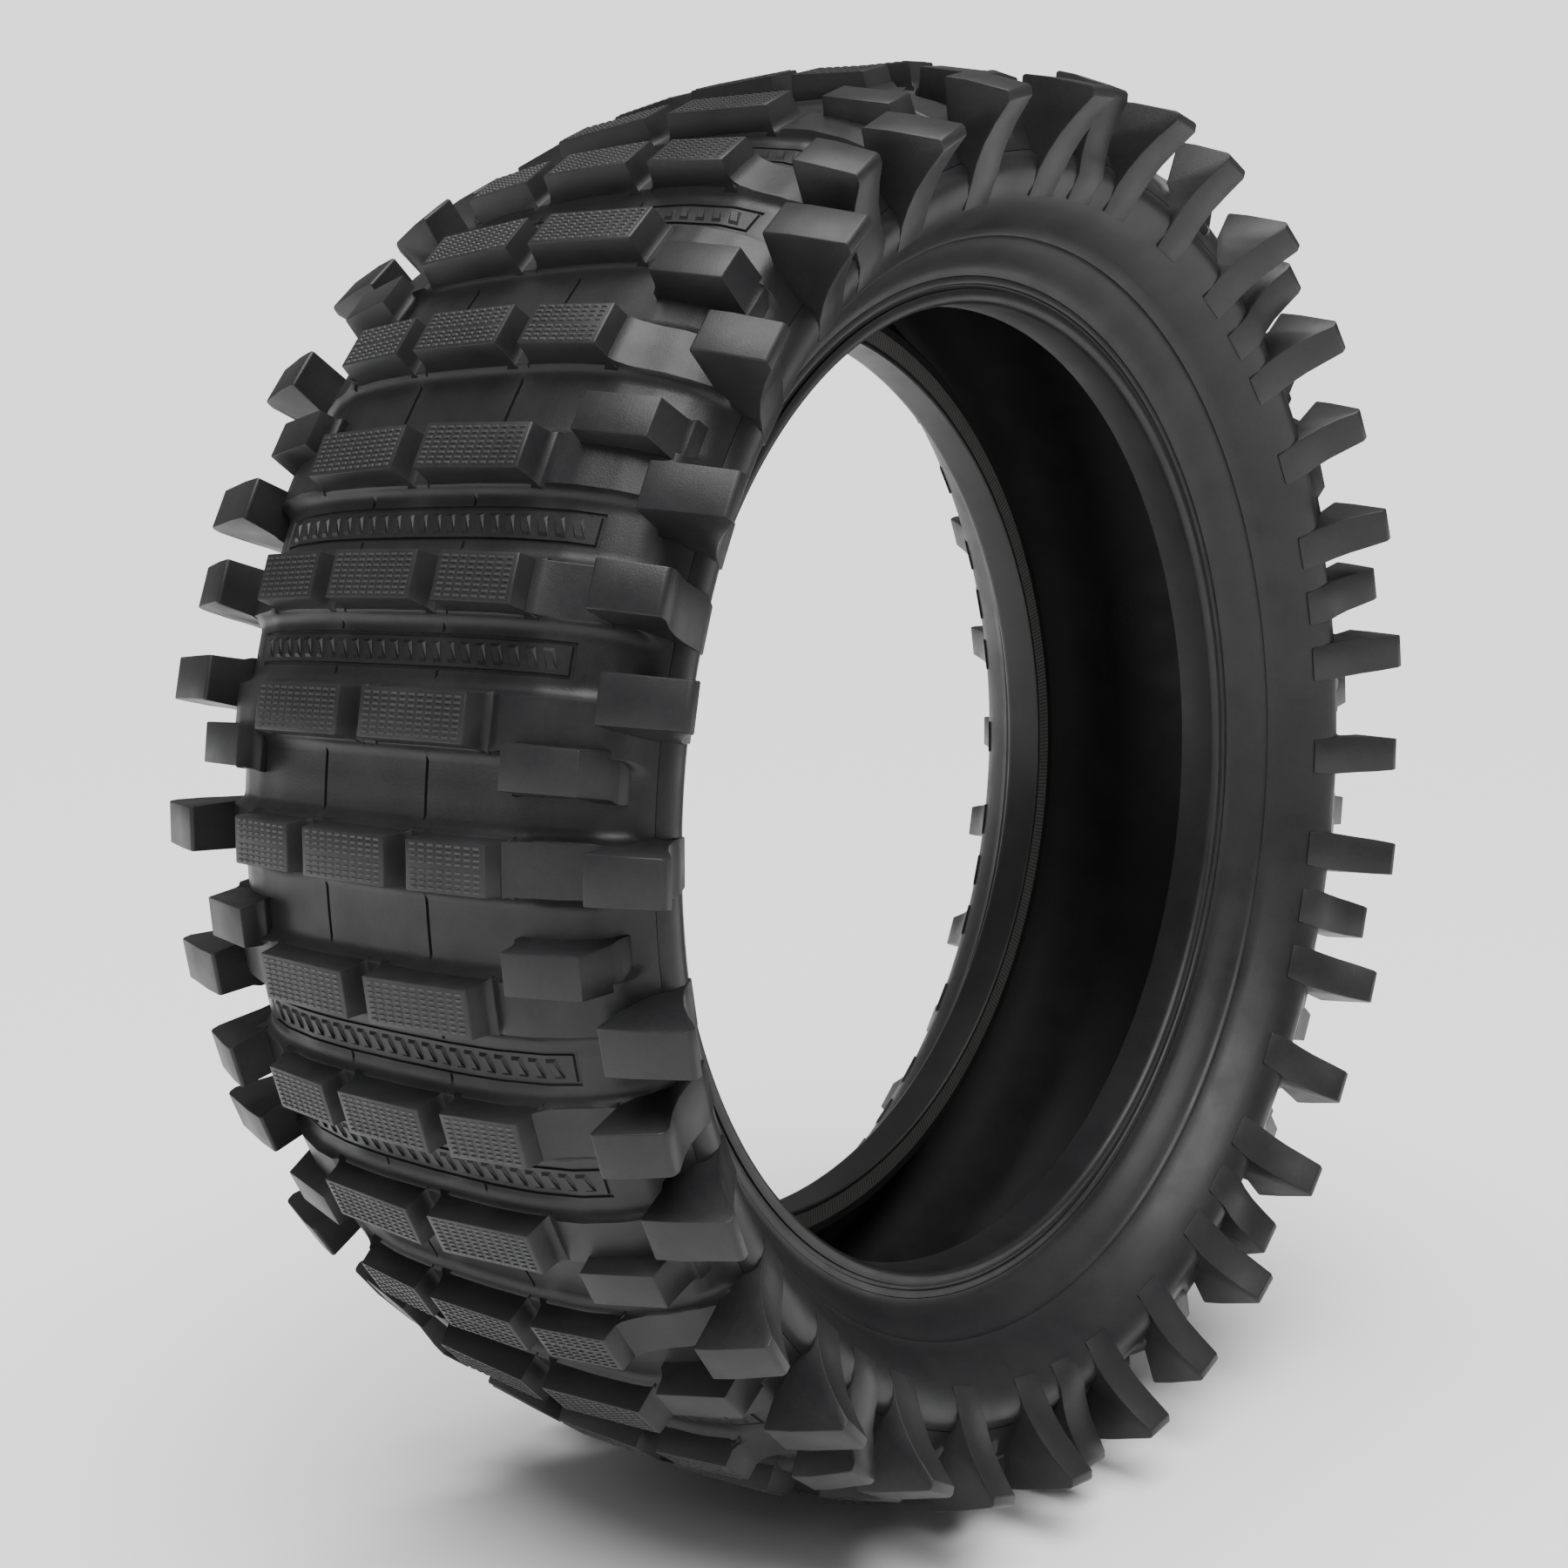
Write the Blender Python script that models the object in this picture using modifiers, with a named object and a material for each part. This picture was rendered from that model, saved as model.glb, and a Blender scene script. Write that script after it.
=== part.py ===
"""Off-road motorcycle tyre, standing upright: bias-ply casing, two beads, breakers and a knobbed tread.

Every ring is turned about the wheel's axis, +Y, and the origin is the wheel's centre.
"""

import math

import bmesh
import bpy
from mathutils import Matrix, Vector

MM = 0.001

# Overall sizes, in millimetres. The toe sets the rim that the tyre fits and the casing's
# half width sets how wide it is. The other radii and widths are counted from those two.
TOE_RADIUS = 228.0  # bead toe, where the tyre seats on its rim
CASING_HALF_WIDTH = 97.0  # inside of the casing, at its widest
SECTION_HEIGHT = 110.0  # bead toe to the tops of the centre knobs
KNOB_HEIGHT = 15.5
CROWN_THICKNESS = 18.5  # from the cavity to the rubber between the knobs
CROWN_RADIUS = TOE_RADIUS + SECTION_HEIGHT
TREAD_BASE_RADIUS = CROWN_RADIUS - KNOB_HEIGHT
BEAD_HALF_SPAN = 49.0  # wheel's middle plane to the inner face of a bead
CASING_RADIUS = TREAD_BASE_RADIUS - CROWN_THICKNESS
CASING_WIDEST_RADIUS = CASING_RADIUS - 26.0
SHOULDER_HALF_WIDTH = CASING_HALF_WIDTH - 8.0
SHOULDER_RADIUS = CASING_RADIUS - 14.0
CROWN_FLAT_HALF_WIDTH = 0.48 * CASING_HALF_WIDTH
RING_STEPS = 40

# Layers of the casing, counted outwards from the cavity
GAP = 0.3
LINER = 1.2
PLY = 1.0
BREAKER = 0.8
UNDERTREAD = 2.0
BREAKER_HALF_WIDTH = 0.74 * CASING_HALF_WIDTH
BREAKER_STEP = 4.0  # the outer breaker is this much narrower on each side
UNDERTREAD_HALF_WIDTH = 0.82 * CASING_HALF_WIDTH

# Bead
CORE_WIDTH = 7.0
CORE_HEIGHT = 7.0
WRAP = 0.8
CHAFER = 1.0
RIM_STRIP = 2.3
RIM_STRIP_WALL = 3.0
BEAD_BEND_RISE = 3.4  # the casing turns outwards this far above the core
FILLER_RUN = 11.8
FILLER_TIP_DROP = 1.1  # the filler's tip stays this far under the casing's ply
FILLER_INNER_HEIGHT = 1.5
TURN_UP_INNER = 12.0
TURN_UP_OUTER = 15.0
BEAD_LEG_TOP = TOE_RADIUS + 12.0  # radius where the liner, chafer and rim strip stop

# Sidewall and tread wing
WALL = 6.5  # sidewall rubber outside the plies
LOWER_WALL = 5.5
BULGE = 12.5  # sidewall rubber at its thickest, just under the tread's wing
BULGE_RISE = 8.0  # above the casing's widest point
WALL_DIP = 5.0  # below the casing's widest point
RIM_LINE = 1.5  # step of the sidewall outside the rim strip
RIM_LINE_RISE = 4.0
WING_RADIUS = CASING_RADIUS - 14.0  # where the tread rubber meets the sidewall rubber
SHOULDER_EDGE = (CASING_HALF_WIDTH + 7.0, CASING_RADIUS)
WING_HALF_WIDTH = CASING_HALF_WIDTH + 15.0
TREAD_SLOPE = (0.80 * CASING_HALF_WIDTH, TREAD_BASE_RADIUS - 6.0)

# Tread pattern: each repeat is a wide row, a spaced row, a narrow row and a spaced row
REPEATS = 10
SPACED_ROW_ANGLE = 9.2
SPACED_SHOULDER_ANGLE = 11.1
LINK_ROW_ANGLE = 6.4
KNOB_LENGTH = 19.0
LINK_LENGTH = 16.5
KNOB_DRAFT = 2.0
KNOB_ROOT = 4.0  # how far a knob's foot is sunk in the tread base
CROWN_ARC_RADIUS = 435.0  # curve of the knob tops across the tyre

# Where a knob starts and stops across the tyre, as shares of the casing's half width
CENTRE_KNOB = (-0.239, 0.239)
OUTER_KNOB = (0.350, 0.733)
SPACED_KNOB = (0.063, 0.606)
LINK_KNOB = (0.767, 1.089)
WIDE_SHOULDER = (1.133, 1.444)
SPACED_SHOULDER = (1.122, 1.489)
NARROW_SHOULDER = (1.056, 1.339)

# Fall of the knobs' tops below the centre knobs' tops
LINK_DROP = (7.5, 15.0)
WIDE_SHOULDER_DROP = 23.0
SPACED_SHOULDER_DROP = 26.0
NARROW_SHOULDER_DROP = 20.0
SHOULDER_RISE = 10.0  # inner edge of a shoulder knob above its outer edge
SHOULDER_FOOT = (WING_HALF_WIDTH - 4.0, WING_RADIUS + 3.0)


def clear_scene():
    for obj in list(bpy.data.objects):
        bpy.data.objects.remove(obj)


def collection(name):
    group = bpy.data.collections.new(name)
    bpy.context.scene.collection.children.link(group)
    return group


def material(name, colour, roughness, metallic=0.0):
    made = bpy.data.materials.new(name)
    made.use_nodes = True
    shader = made.node_tree.nodes["Principled BSDF"]
    shader.inputs["Base Color"].default_value = (*colour, 1.0)
    shader.inputs["Roughness"].default_value = roughness
    shader.inputs["Metallic"].default_value = metallic
    return made


def unit(vector):
    length = math.hypot(*vector)
    return (vector[0] / length, vector[1] / length)


def outward(start, end):
    """Normal of a leg that runs from the bead up to the crown on the +Y side."""
    along = unit((end[0] - start[0], end[1] - start[1]))
    return (along[1], -along[0])


def offset(points, distance):
    """The same open line, moved outwards by distance with its corners mitred."""
    normals = [outward(a, b) for a, b in zip(points, points[1:])]
    before = [normals[0]] + normals
    after = normals + [normals[-1]]
    moved = []
    for point, first, second in zip(points, before, after):
        scale = distance / (1.0 + first[0] * second[0] + first[1] * second[1])
        moved.append(
            (
                point[0] + scale * (first[0] + second[0]),
                point[1] + scale * (first[1] + second[1]),
            )
        )
    return moved


def at_radius(start, end, radius):
    share = (radius - start[1]) / (end[1] - start[1])
    return (start[0] + share * (end[0] - start[0]), radius)


def at_width(start, end, width):
    share = (width - start[0]) / (end[0] - start[0])
    return (width, start[1] + share * (end[1] - start[1]))


def crossing(a, b, c, d):
    """Where the line through a and b meets the line through c and d."""
    run = (b[0] - a[0], b[1] - a[1])
    other = (d[0] - c[0], d[1] - c[1])
    share = ((c[0] - a[0]) * other[1] - (c[1] - a[1]) * other[0]) / (
        run[0] * other[1] - run[1] * other[0]
    )
    return (a[0] + share * run[0], a[1] + share * run[1])


def mirrored(points):
    return [(-width, radius) for width, radius in reversed(points)]


def turned(name, outline, finish, group):
    """A ring whose section is the closed outline of (width, radius) points."""
    pairs = zip(outline, outline[1:] + outline[:1])
    area = sum(a[0] * b[1] - b[0] * a[1] for a, b in pairs)
    if area < 0.0:
        outline = outline[::-1]
    mesh = bpy.data.meshes.new(name)
    shape = bmesh.new()
    corners = [
        shape.verts.new((radius * MM, width * MM, 0.0)) for width, radius in outline
    ]
    for first, second in zip(corners, corners[1:] + corners[:1]):
        shape.edges.new((first, second))
    shape.to_mesh(mesh)
    shape.free()
    mesh.materials.append(finish)
    ring = bpy.data.objects.new(name, mesh)
    group.objects.link(ring)
    screw = ring.modifiers.new("Turn", "SCREW")
    screw.axis = "Y"
    screw.steps = RING_STEPS
    screw.render_steps = RING_STEPS
    screw.use_merge_vertices = True
    screw.merge_threshold = 0.0001
    return ring


# Depth of each layer's inner face below the outside, counted from the cavity
PLY_INNER_AT = LINER + GAP
PLY_OUTER_AT = PLY_INNER_AT + PLY + GAP
BREAKER_INNER_AT = PLY_OUTER_AT + PLY + GAP
BREAKER_OUTER_AT = BREAKER_INNER_AT + BREAKER + GAP
UNDERTREAD_AT = BREAKER_OUTER_AT + BREAKER + GAP
TREAD_AT = UNDERTREAD_AT + UNDERTREAD + GAP
SIDEWALL_AT = BREAKER_INNER_AT

# Bead core and the nested legs round it
CORE_INNER = BEAD_HALF_SPAN + PLY_OUTER_AT + PLY + GAP + WRAP + GAP
CORE_OUTER = CORE_INNER + CORE_WIDTH
CHAFER_FLOOR = TOE_RADIUS + RIM_STRIP + GAP
PLY_INNER_FLOOR = CHAFER_FLOOR + CHAFER + GAP
PLY_OUTER_FLOOR = PLY_INNER_FLOOR + PLY + GAP
WRAP_FLOOR = PLY_OUTER_FLOOR + PLY + GAP
CORE_FLOOR = WRAP_FLOOR + WRAP + GAP
CORE_TOP = CORE_FLOOR + CORE_HEIGHT
BEAD_BEND_RADIUS = CORE_TOP + BEAD_BEND_RISE
WRAP_FACE = CORE_OUTER + GAP
PLY_OUTER_FACE = WRAP_FACE + WRAP + GAP
PLY_INNER_FACE = PLY_OUTER_FACE + PLY + GAP
CHAFER_FACE = PLY_INNER_FACE + PLY + GAP
RIM_STRIP_FACE = CHAFER_FACE + CHAFER + GAP
HEEL = RIM_STRIP_FACE + RIM_STRIP_WALL

CASING_LINE = [
    (BEAD_HALF_SPAN, BEAD_BEND_RADIUS),
    (CASING_HALF_WIDTH, CASING_WIDEST_RADIUS),
    (SHOULDER_HALF_WIDTH, SHOULDER_RADIUS),
    (CROWN_FLAT_HALF_WIDTH, CASING_RADIUS),
]


def casing_half(distance, foot_radius):
    """The casing's line at a distance from the cavity, from the bead's inner face to the crown."""
    foot = (BEAD_HALF_SPAN, foot_radius)
    line = offset([foot] + CASING_LINE + [(0.0, CASING_RADIUS)], distance)
    return line[:-1]


def filler_side():
    """Foot and tip of the bead filler's outer side. Its tip lies just under the outer ply."""
    foot = (CORE_OUTER, CORE_TOP + GAP)
    face = casing_half(PLY_OUTER_AT + PLY + GAP, BEAD_LEG_TOP)
    tip = at_width(face[1], face[2], CORE_OUTER + FILLER_RUN)
    return [foot, (tip[0], tip[1] - FILLER_TIP_DROP)]


def crown_half(distance, half_width):
    """The crown part of that line, from half_width to the flat."""
    line = casing_half(distance, BEAD_LEG_TOP)
    edge = at_width(line[3], line[4], half_width)
    return [edge, line[4]]


def turn_up(face, distance, length):
    """The leg outside the filler: up from the bead, then along the filler's outer side."""
    foot, tip = filler_side()
    side = offset([foot, tip], distance)
    along = unit((tip[0] - foot[0], tip[1] - foot[1]))
    bend = crossing(side[0], side[1], (face, 0.0), (face, 1.0))
    end = (side[0][0] + along[0] * length, side[0][1] + along[1] * length)
    return bend, end


def ply(name, at, floor, face, lift, length, finish, group):
    """A casing ply from turn-up to turn-up, wrapped round both beads."""
    inner = casing_half(at, floor + PLY)
    outer = casing_half(at + PLY, floor + PLY)
    near_bend, near_end = turn_up(face, lift, length)
    far_bend, far_end = turn_up(face + PLY, lift + PLY, length)
    cavity_side = [far_end, far_bend, (face + PLY, floor), (BEAD_HALF_SPAN + at, floor)]
    cavity_side += inner[1:]
    core_side = [near_end, near_bend, (face, floor + PLY)]
    core_side += [(BEAD_HALF_SPAN + at + PLY, floor + PLY)] + outer[1:]
    outline = cavity_side + mirrored(cavity_side)
    outline += list(reversed(core_side + mirrored(core_side)))
    return turned(name, outline, finish, group)


def crown_layer(name, at, thickness, half_width, finish, group):
    inner = crown_half(at, half_width)
    outer = crown_half(at + thickness, half_width)
    outline = inner + mirrored(inner)
    outline += list(reversed(outer + mirrored(outer)))
    return turned(name, outline, finish, group)


def inner_liner(finish, group):
    inner = casing_half(0.0, BEAD_LEG_TOP)
    outer = casing_half(LINER, BEAD_LEG_TOP)
    outline = inner + mirrored(inner)
    outline += list(reversed(outer + mirrored(outer)))
    return turned("inner_liner", outline, finish, group)


def tread_inner():
    line = casing_half(TREAD_AT, BEAD_LEG_TOP)
    return [at_radius(line[2], line[3], WING_RADIUS)] + line[3:]


def tread_ring(finish, group):
    inner = tread_inner()
    outer = [
        (WING_HALF_WIDTH, WING_RADIUS),
        SHOULDER_EDGE,
        TREAD_SLOPE,
        (CROWN_FLAT_HALF_WIDTH, TREAD_BASE_RADIUS),
    ]
    outline = inner + mirrored(inner)
    outline += list(reversed(outer + mirrored(outer)))
    return turned("tread", outline, finish, group)


def sided(points, side):
    return [(side * width, radius) for width, radius in points]


def bead_pieces(side, word, finishes, group):
    """The rings of one bead, from the wire core outwards."""
    core = [
        (CORE_INNER, CORE_FLOOR),
        (CORE_OUTER, CORE_FLOOR),
        (CORE_OUTER, CORE_TOP),
        (CORE_INNER, CORE_TOP),
    ]
    turned("bead_core_" + word, sided(core, side), finishes["wire"], group)
    ply_face = casing_half(PLY_OUTER_AT + PLY + GAP, BEAD_LEG_TOP)
    lean = crossing(ply_face[1], ply_face[2], (CORE_INNER, 0.0), (CORE_INNER, 1.0))
    filler = [(CORE_INNER, CORE_TOP + GAP)] + filler_side()
    filler.append((CORE_INNER, min(lean[1], CORE_TOP + GAP + FILLER_INNER_HEIGHT)))
    turned("bead_filler_" + word, sided(filler, side), finishes["filler"], group)
    wrap = [
        (CORE_INNER - GAP - WRAP, WRAP_FLOOR),
        (WRAP_FACE + WRAP, WRAP_FLOOR),
        (WRAP_FACE + WRAP, CORE_TOP),
        (WRAP_FACE, CORE_TOP),
        (WRAP_FACE, CORE_FLOOR - GAP),
        (CORE_INNER - GAP, CORE_FLOOR - GAP),
        (CORE_INNER - GAP, CORE_TOP),
        (CORE_INNER - GAP - WRAP, CORE_TOP),
    ]
    turned("bead_wrap_" + word, sided(wrap, side), finishes["fabric"], group)
    inside = BEAD_HALF_SPAN + LINER - CHAFER
    chafer = [
        (inside, CHAFER_FLOOR),
        (CHAFER_FACE + CHAFER, CHAFER_FLOOR),
        (CHAFER_FACE + CHAFER, BEAD_LEG_TOP),
        (CHAFER_FACE, BEAD_LEG_TOP),
        (CHAFER_FACE, CHAFER_FLOOR + CHAFER),
        (inside + CHAFER, CHAFER_FLOOR + CHAFER),
        (inside + CHAFER, BEAD_LEG_TOP - GAP),
        (inside, BEAD_LEG_TOP - GAP),
    ]
    turned("chafer_" + word, sided(chafer, side), finishes["fabric"], group)
    strip = [
        (inside, TOE_RADIUS),
        (HEEL - RIM_STRIP, TOE_RADIUS),
        (HEEL, TOE_RADIUS + RIM_STRIP),
        (HEEL, BEAD_LEG_TOP),
        (RIM_STRIP_FACE, BEAD_LEG_TOP),
        (RIM_STRIP_FACE, TOE_RADIUS + RIM_STRIP),
        (inside, TOE_RADIUS + RIM_STRIP),
    ]
    turned("rim_strip_" + word, sided(strip, side), finishes["wall"], group)


def sidewall(side, word, finish, group):
    face = casing_half(SIDEWALL_AT, BEAD_LEG_TOP)
    lift = 3 * GAP + 2 * PLY
    flank = offset(filler_side(), lift)
    low = crossing(flank[0], flank[1], (CHAFER_FACE, 0.0), (CHAFER_FACE, 1.0))
    meet = crossing(flank[0], flank[1], face[1], face[2])
    top = at_radius(face[2], face[3], WING_RADIUS - GAP)
    foot = BEAD_LEG_TOP + GAP
    widest = face[2]
    outer_top = (WING_HALF_WIDTH, WING_RADIUS - GAP)
    outline = [(CHAFER_FACE, foot), low, meet, widest, top, outer_top]
    outline += [
        (widest[0] + BULGE, widest[1] + BULGE_RISE),
        (widest[0] + WALL, widest[1] - WALL_DIP),
        (meet[0] + WALL, meet[1] - LOWER_WALL),
        (HEEL + RIM_LINE, foot + RIM_LINE_RISE),
        (HEEL, foot),
    ]
    turned("sidewall_" + word, sided(outline, side), finish, group)


def shoulder_wedge(side, word, finish, group):
    """The rubber strip that fills the step at the edges of the breakers."""
    low = casing_half(SIDEWALL_AT, BEAD_LEG_TOP)
    high = casing_half(TREAD_AT - GAP, BEAD_LEG_TOP)
    crown_edge = UNDERTREAD_HALF_WIDTH + GAP
    outline = [
        at_width(low[3], low[4], crown_edge),
        low[3],
        at_radius(low[2], low[3], WING_RADIUS + GAP),
        at_radius(high[2], high[3], WING_RADIUS + GAP),
        high[3],
        at_width(high[3], high[4], crown_edge),
    ]
    turned("shoulder_wedge_" + word, sided(outline, side), finish, group)


def base_radius(width):
    """Outside of the tread between the knobs, at a width from the middle."""
    line = [(0.0, TREAD_BASE_RADIUS), (CROWN_FLAT_HALF_WIDTH, TREAD_BASE_RADIUS)]
    line += [TREAD_SLOPE, SHOULDER_EDGE]
    for start, end in zip(line, line[1:]):
        if abs(width) <= end[0]:
            return at_width(start, end, abs(width))[1]
    return SHOULDER_EDGE[1]


def block(shape, angle, foot, top, length):
    """A knob, from its foot's two (width, radius) corners to its top's, turned to its place."""
    turn = Matrix.Rotation(math.radians(angle), 3, "Y")
    for corner in bmesh.ops.create_cube(shape, size=1.0)["verts"]:
        is_top = corner.co.z > 0.0
        width, radius = (top if is_top else foot)[corner.co.y > 0.0]
        half = length / 2.0 if is_top else length / 2.0 + KNOB_DRAFT
        run = math.copysign(half, corner.co.x)
        corner.co = turn @ Vector((run * MM, width * MM, -radius * MM))


def across(shares):
    return (shares[0] * CASING_HALF_WIDTH, shares[1] * CASING_HALF_WIDTH)


def knob_top(width):
    """Radius of the tread's arc, which the tops of the knobs beside the middle follow."""
    return CROWN_RADIUS - width * width / (2.0 * CROWN_ARC_RADIUS)


def crown_knob(shape, angle, span, radii, length):
    """A knob on the crown, with its top's radius at each end of its span of widths."""
    feet = (span[0] - KNOB_DRAFT, span[1] + KNOB_DRAFT)
    foot = [(width, base_radius(width) - KNOB_ROOT) for width in feet]
    block(shape, angle, foot, list(zip(span, radii)), length)


def both_sides(shape, angle, span, radii, length):
    crown_knob(shape, angle, span, radii, length)
    other = (-span[1], -span[0])
    crown_knob(shape, angle, other, radii[::-1], length)


def arc_knobs(shape, angle, shares):
    """A pair of crown knobs, one on each side, whose tops follow the tread's arc."""
    span = across(shares)
    both_sides(shape, angle, span, [knob_top(width) for width in span], KNOB_LENGTH)


def shoulder_knobs(shape, angle, shares, drop):
    span = across(shares)
    radius = CROWN_RADIUS - drop
    inner_foot = span[0] - KNOB_DRAFT
    foot = [(inner_foot, base_radius(inner_foot) - KNOB_ROOT), SHOULDER_FOOT]
    top = [(span[0], radius + SHOULDER_RISE), (span[1], radius)]
    block(shape, angle, foot, top, KNOB_LENGTH)
    block(shape, angle, mirrored(foot), mirrored(top), KNOB_LENGTH)


def knobs(group):
    """Every knob of the tread, as blocks whose feet are sunk in the tread's base."""
    shape = bmesh.new()
    level = (CROWN_RADIUS, CROWN_RADIUS)
    link_radii = [CROWN_RADIUS - drop for drop in LINK_DROP]
    half_turn = 180.0 / REPEATS
    for repeat in range(REPEATS):
        middle = (2.0 * repeat + 1.0) * half_turn
        for row, shares, drop in (
            (middle, WIDE_SHOULDER, WIDE_SHOULDER_DROP),
            (middle + half_turn, NARROW_SHOULDER, NARROW_SHOULDER_DROP),
        ):
            crown_knob(shape, row, across(CENTRE_KNOB), level, KNOB_LENGTH)
            arc_knobs(shape, row, OUTER_KNOB)
            shoulder_knobs(shape, row, shares, drop)
        for way in (-1.0, 1.0):
            arc_knobs(shape, middle + way * SPACED_ROW_ANGLE, SPACED_KNOB)
            row = middle + way * LINK_ROW_ANGLE
            both_sides(shape, row, across(LINK_KNOB), link_radii, LINK_LENGTH)
            row = middle + way * SPACED_SHOULDER_ANGLE
            shoulder_knobs(shape, row, SPACED_SHOULDER, SPACED_SHOULDER_DROP)
    mesh = bpy.data.meshes.new("knobs")
    shape.to_mesh(mesh)
    shape.free()
    blocks = bpy.data.objects.new("knobs", mesh)
    blocks.hide_render = True
    blocks.display_type = "WIRE"
    group.objects.link(blocks)
    return blocks


def finishes():
    return {
        "tread": material("tread_rubber", (0.030, 0.030, 0.031), 0.62),
        "wall": material("sidewall_rubber", (0.026, 0.026, 0.027), 0.50),
        "liner": material("liner_rubber", (0.012, 0.012, 0.013), 0.55),
        "cushion": material("cushion_rubber", (0.040, 0.038, 0.036), 0.70),
        "filler": material("filler_rubber", (0.045, 0.042, 0.040), 0.60),
        "ply": material("rubberised_cord", (0.16, 0.12, 0.08), 0.80),
        "fabric": material("woven_fabric", (0.20, 0.19, 0.17), 0.85),
        "wire": material("bead_wire", (0.62, 0.52, 0.34), 0.35, 0.9),
    }


def casing(finish, group):
    """The layers that run from side to side, from the cavity outwards."""
    inner_liner(finish["liner"], group)
    outer = (PLY_OUTER_AT, PLY_OUTER_FLOOR, PLY_OUTER_FACE, GAP, TURN_UP_INNER)
    ply("casing_ply_outer", *outer, finish["ply"], group)
    inner = (PLY_INNER_AT, PLY_INNER_FLOOR, PLY_INNER_FACE, 2 * GAP + PLY, TURN_UP_OUTER)
    ply("casing_ply_inner", *inner, finish["ply"], group)
    width = BREAKER_HALF_WIDTH
    crown_layer("breaker_inner", BREAKER_INNER_AT, BREAKER, width, finish["ply"], group)
    narrow = BREAKER_HALF_WIDTH - BREAKER_STEP
    crown_layer("breaker_outer", BREAKER_OUTER_AT, BREAKER, narrow, finish["ply"], group)
    wide = UNDERTREAD_HALF_WIDTH
    crown_layer("undertread", UNDERTREAD_AT, UNDERTREAD, wide, finish["cushion"], group)


def build():
    clear_scene()
    parts = collection("motorcycle_tyre")
    helpers = collection("motorcycle_tyre_knob_blocks")
    finish = finishes()
    casing(finish, parts)
    for side, word in ((-1, "right"), (1, "left")):
        bead_pieces(side, word, finish, parts)
        shoulder_wedge(side, word, finish["cushion"], parts)
        sidewall(side, word, finish["wall"], parts)
    tread = tread_ring(finish["tread"], parts)
    join = tread.modifiers.new("Knobs", "BOOLEAN")
    join.operation = "UNION"
    join.object = knobs(helpers)


build()
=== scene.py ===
"""Looks of an off-road motorcycle tyre: moulded tread, turned walls, beads and inner layers."""

import math

import bpy
import numpy as np
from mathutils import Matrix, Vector


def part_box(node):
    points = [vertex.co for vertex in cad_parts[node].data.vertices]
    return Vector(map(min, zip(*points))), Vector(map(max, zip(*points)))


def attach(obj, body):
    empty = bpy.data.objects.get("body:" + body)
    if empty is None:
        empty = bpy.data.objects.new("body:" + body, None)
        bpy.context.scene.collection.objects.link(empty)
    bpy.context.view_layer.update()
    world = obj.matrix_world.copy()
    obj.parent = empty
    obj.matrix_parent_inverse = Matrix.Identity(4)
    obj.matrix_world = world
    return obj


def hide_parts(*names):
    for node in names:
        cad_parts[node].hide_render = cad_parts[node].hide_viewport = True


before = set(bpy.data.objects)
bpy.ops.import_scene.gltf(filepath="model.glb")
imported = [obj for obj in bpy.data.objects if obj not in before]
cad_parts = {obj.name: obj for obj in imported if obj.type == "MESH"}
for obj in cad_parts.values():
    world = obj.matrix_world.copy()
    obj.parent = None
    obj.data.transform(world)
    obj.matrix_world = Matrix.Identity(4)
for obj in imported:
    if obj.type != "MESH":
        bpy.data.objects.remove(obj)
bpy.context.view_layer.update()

MM = 0.001

# Sizes in millimetres and angles in degrees, as the solids have them
CROWN_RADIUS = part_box("tread")[1][2] / MM
KNOB_HEIGHT = 15.5
BASE_RADIUS = CROWN_RADIUS - KNOB_HEIGHT
REPEATS = 10
REPEAT_ANGLE = 360.0 / REPEATS
FIRST_ROW = 90.0  # the wide row that faces -X
SPACED_ROW = 9.2
LINK_ROW = 6.4
SPACED_SHOULDER_ROW = 11.1
NARROW_ROW = REPEAT_ANGLE / 2.0
CROWN_ARC = 435.0
DRAWN_HALF_WIDTH = 134.0  # half width over the shoulder knobs that the widths here are drawn for
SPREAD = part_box("tread")[1][1] / MM / DRAWN_HALF_WIDTH

KNOB_HALF_LENGTH = 9.5
KNURL_RISE = 0.42
LINK_HALF_LENGTH = 8.25
CENTRE_SPAN = (-21.5, 21.5)
OUTER_SPAN = (31.5, 66.0)
SPACED_SPAN = (5.7, 54.5)
LINK_SPAN = (69.0, 98.0)
WIDE_SHOULDER = (102.0, 130.0, 315.0)
SPACED_SHOULDER = (101.0, 134.0, 312.0)
NARROW_SHOULDER = (95.0, 120.5, 318.0)
LINK_RADII = (330.5, 323.0)
WALL_FOOT = (108.2, 281.0)  # where a shoulder knob's fin ends on the sidewall

BAR_HEIGHT = 3.6
BAR_HALF_LENGTH = 10.0
FILLET_RADIUS = 6.0
SADDLE_DEPTH = 6.5
PAD_HEIGHT = 5.2
GROOVE_WIDTH = 26.5
GROOVE_HALF = 0.55
GROOVE_DEPTH = 1.3
PANEL_ANGLE = 13.6
PANEL_HALF_HEIGHT = 6.2
PANEL_HALF_WIDTH = 81.0
FRAME_LINE = 0.55
FRAME_DEPTH = 0.9
FRAME_MARGIN = 1.5  # plain rubber round a panel's frame, which no groove crosses
FIN_HOLLOW = 2.6
PANEL_BARS = 22
PANEL_BAR_INSET = 4.0
KNURL_LINES = 8
KNURL_LINE_PITCH = 2.12
KNURL_COLUMN_PITCH = 4.1

BASE_LINE = [
    (0.0, BASE_RADIUS),
    (30.0, BASE_RADIUS - 0.5),
    (50.0, BASE_RADIUS - 2.0),
    (70.0, BASE_RADIUS - 5.8),
    (84.0, BASE_RADIUS - 11.2),
    (93.0, BASE_RADIUS - 16.6),
    (99.5, BASE_RADIUS - 22.5),
    (103.5, BASE_RADIUS - 28.0),
    (105.0, BASE_RADIUS - 32.5),
]


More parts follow.
